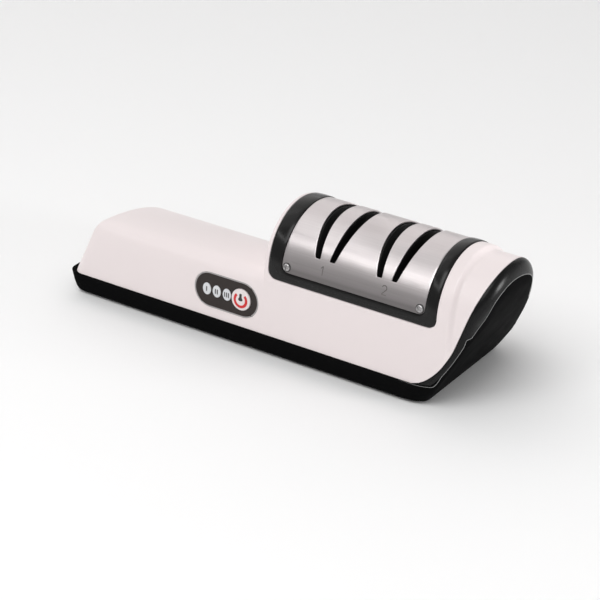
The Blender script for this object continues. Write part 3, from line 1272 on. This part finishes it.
# %% [markdown]
# The windows are pale oval plates with a slight crown, so each catches its own small highlight. Bars are
# printed on them, one to three, and follow the crown.

# %% Windows and their bars
BAR_HALF, BAR_STEP = (0.36, 1.5), 1.35
half = np.array([WINDOW_W / 2, WINDOW_H / 2])
for number, x in enumerate(WINDOW_X):
    flat, rise, quads = dome(half, (-0.8, WINDOW_PROUD), 0.12)
    window = new_mesh(f"window_{number + 1}", panel_place(flat + (x, 0), rise), quads)
    finish(window, lens_plastic, nodes=[f"indicator_window_{number + 1}"])
    for bar in range(number + 1):
        at = (bar - number / 2) * BAR_STEP
        ring = rounded(rectangle_loop(BAR_HALF, (6, 14)), (0, 0), BAR_HALF, 0.3)
        flat = np.vstack([ring, ring * 0.5, ring * 0.02]) + (at, 0)
        index = np.arange(len(flat)).reshape(3, -1)
        height = WINDOW_PROUD + 0.12 * (1 - ((flat / half) ** 2).sum(1)) + 0.05
        mark(f"window_mark_{number + 1}_{bar + 1}", flat + (x, 0), height,
             loop_grid(index), grey_ink)

# %% [markdown]
# The button is a crowned disc. It rides on its own body, because it can be pushed, and so does its mark: an
# open red ring round a dark stem, both laid on the crown by one height formula.

# %% Push button and its mark
flat, rise, quads = dome(np.array([BUTTON_R, BUTTON_R]), (-2.2, BUTTON_PROUD), BUTTON_CROWN, 72, 16)
cap = new_mesh("push_button", panel_place(flat + (BUTTON_X, 0), rise), quads)
finish(cap, button_plastic, "button", ["power_button"])


def on_cap(flat):
    """Height of the button's crown at a flat point, plus the ink."""
    return BUTTON_PROUD + BUTTON_CROWN * (1 - (flat ** 2).sum(1) / BUTTON_R ** 2) + 0.06


RING_GAP, RING_R, STEM_HALF, MARK_PLACE = 42, (3.15, 4.75), (0.8, 2.2), (BUTTON_X, -0.2)
turn = np.radians(np.linspace(90 + RING_GAP, 450 - RING_GAP, 60))
radius = np.linspace(*RING_R, 4)
flat = np.stack([np.outer(radius, np.cos(turn)), np.outer(radius, np.sin(turn))], -1).reshape(-1, 2)
mark("ring_mark", flat + MARK_PLACE, on_cap(flat), grid_quads(np.arange(len(flat)).reshape(4, -1)), red_ink,
     "button")
stem = rounded(rectangle_loop(STEM_HALF, (6, 16)), (0, 0), STEM_HALF, 0.4)
stem[:, 0] *= 1 + 0.9 * np.exp(-((stem[:, 1] + 1.3) / 0.8) ** 2)
flat = np.vstack([stem, stem * 0.5, stem * 0.02]) + (0, 1.7)
index = np.arange(len(flat)).reshape(3, -1)
mark("stem_mark", flat + MARK_PLACE, on_cap(flat), loop_grid(index), dark_ink, "button")

# %% [markdown]
# ## What stays from the CAD model
# Wheels, guides, gears, board, motor, feet and inlet keep their solids: what shows of them through the slots
# and from below is already right. They only get a finish.

# %% Finishes for the solids that stay
KEPT = {
    inner_plastic: ["fine_guide", "coarse_guide", "motor_cradle", "power_switch", "drive_frame",
                    "power_inlet"],
    rubber: [f"rubber_foot_{name}" for name in ("front_left", "rear_left", "front_right", "rear_right")],
    fine_grit: ["fine_wheel_left", "fine_wheel_right"],
    coarse_grit: ["coarse_wheel_left", "coarse_wheel_right"],
    bright_steel: ["wheel_shaft", "motor", "motor_shaft", "motor_strap"],
    brass: ["left_bush", "right_bush", "drive_pinion"],
    nylon: ["gear_spacer", "wheel_spacer", "end_spacer", "driven_gear"],
    laminate: ["circuit_board"],
    lens_plastic: [f"indicator_led_{number}" for number in (1, 2, 3)],
}
for material, names in KEPT.items():
    for name in names:
        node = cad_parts[name]
        node.data.materials.clear()
        node.data.materials.append(material)
print("solids that stay:", sum(map(len, KEPT.values())) + len(SCREW_PLACES))

# %% [markdown]
# ## Floor, light and camera
# A pale floor that turns up into a plain backdrop, with a lit wall behind it. Steel shows what it faces: the
# crest of the cover reflects that wall, its middle reflects the overhead panel, and the bright band across it
# reflects the strip. The key light, broad and soft, is over the front, and a small low one draws the
# highlight on the rim. The camera has the photograph's place and angle.

# %% Floor and backdrop
CAMERA_TURN, CAMERA_TILT, CAMERA_PLACE = 34.5, 27.7, (0.6557, -0.9621, 0.6282)
FOCAL_PIXELS, PICTURE_PIXELS, SENSOR_WIDTH = 2276, 600, 36.0


def square_to_camera(across, far, up):
    """Places in mm, from the way across the picture, the way back and the height."""
    view = np.radians(CAMERA_TURN)
    x, y = across * np.cos(view) - far * np.sin(view), across * np.sin(view) + far * np.cos(view)
    return np.stack([x, y, up], -1)


def make_backdrop():
    """Floor, a quarter round of 0.8 m and an upright, as one sheet."""
    turn = np.linspace(0, np.pi / 2, 16)[1:]
    run = np.concatenate([np.linspace(-3, 1.2, 12), 1.2 + 0.8 * np.sin(turn), [2.0]]) / MM
    rise = np.concatenate([np.zeros(12), 0.8 * (1 - np.cos(turn)), [5.0]]) / MM
    wide = np.linspace(-5, 5, 8)[:, None] / MM
    places = square_to_camera(*np.broadcast_arrays(wide, run[None], rise[None]))
    index = np.arange(8 * len(run)).reshape(8, -1)
    backdrop = new_mesh("backdrop", places.reshape(-1, 3), grid_quads(index), 180.0)
    return outward_is(backdrop, lambda c: c * 0 + (0, 0, 1))


backdrop = make_backdrop()
paper = Finish("pale_paper", (0.93, 0.93, 0.93), 0.9)
paper.vary(paper.noise(3.0), "Roughness", 0.85, 0.95)
backdrop.data.materials.append(paper.material)


def make_lit_wall():
    """An upright sheet far behind the object, square to the camera, that its metal reflects."""
    across, up = np.meshgrid(np.linspace(-3000, 3000, 7), np.linspace(350, 4500, 7), indexing="ij")
    places = square_to_camera(across, 1950.0, up)
    wall = new_mesh("lit_wall", places.reshape(-1, 3), grid_quads(np.arange(49).reshape(7, 7)))
    return outward_is(wall, lambda c: -c)


lit_wall = make_lit_wall()
glow = Finish("lit_paper", (0.8, 0.8, 0.8), 0.9, Emission_Color=(1.0, 0.97, 0.96, 1.0),
              Emission_Strength=0.62)
glow.vary(glow.noise(3.0), "Roughness", 0.85, 0.95)
lit_wall.data.materials.append(glow.material)
print("stage:", backdrop.name, "and", lit_wall.name)


# %% Lights, world and camera
def soft_light(name, place, aim, size, power):
    """A rectangular lamp that looks from its place at a point."""
    lamp = bpy.data.lights.new(name, "AREA")
    lamp.shape, lamp.size, lamp.size_y, lamp.energy = "RECTANGLE", *size, power
    holder = bpy.data.objects.new(name, lamp)
    away = np.array(place, float) - np.array(aim, float)
    level = math.hypot(away[0], away[1])
    holder.location = place
    holder.rotation_euler = (math.atan2(level, away[2]), 0, math.atan2(away[0], -away[1]))
    bpy.context.scene.collection.objects.link(holder)
    return holder


soft_light("key", (0.1, -0.9, 1.3), (0, 0, 0.03), (1.1, 0.9), 11.5)
soft_light("strip", (-0.69, -1.0, 0.95), (0.05, -0.03, 0.07), (1.3, 0.07), 1.8)
soft_light("overhead", (-0.82, -0.12, 1.35), (0.05, 0, 0.07), (1.0, 1.0), 1.9)
soft_light("right", (1.25, 0.26, 0.12), (0.13, -0.03, 0.07), (0.34, 0.34), 10.0)

world = bpy.data.worlds.new("even_light")
world.use_nodes = True
world.node_tree.nodes["Background"].inputs["Color"].default_value = (1.0, 1.0, 1.0, 1.0)
world.node_tree.nodes["Background"].inputs["Strength"].default_value = 0.38
bpy.context.scene.world = world

camera_data = bpy.data.cameras.new("camera")
camera_data.sensor_width = SENSOR_WIDTH
camera_data.lens = FOCAL_PIXELS * SENSOR_WIDTH / PICTURE_PIXELS
camera = bpy.data.objects.new("camera", camera_data)
camera.location = CAMERA_PLACE
camera.rotation_euler = (math.radians(90 - CAMERA_TILT), 0, math.radians(CAMERA_TURN))
bpy.context.scene.collection.objects.link(camera)
bpy.context.scene.camera = camera
bpy.context.scene.view_settings.view_transform = "Standard"
print("lens:", round(camera_data.lens, 1), "mm")
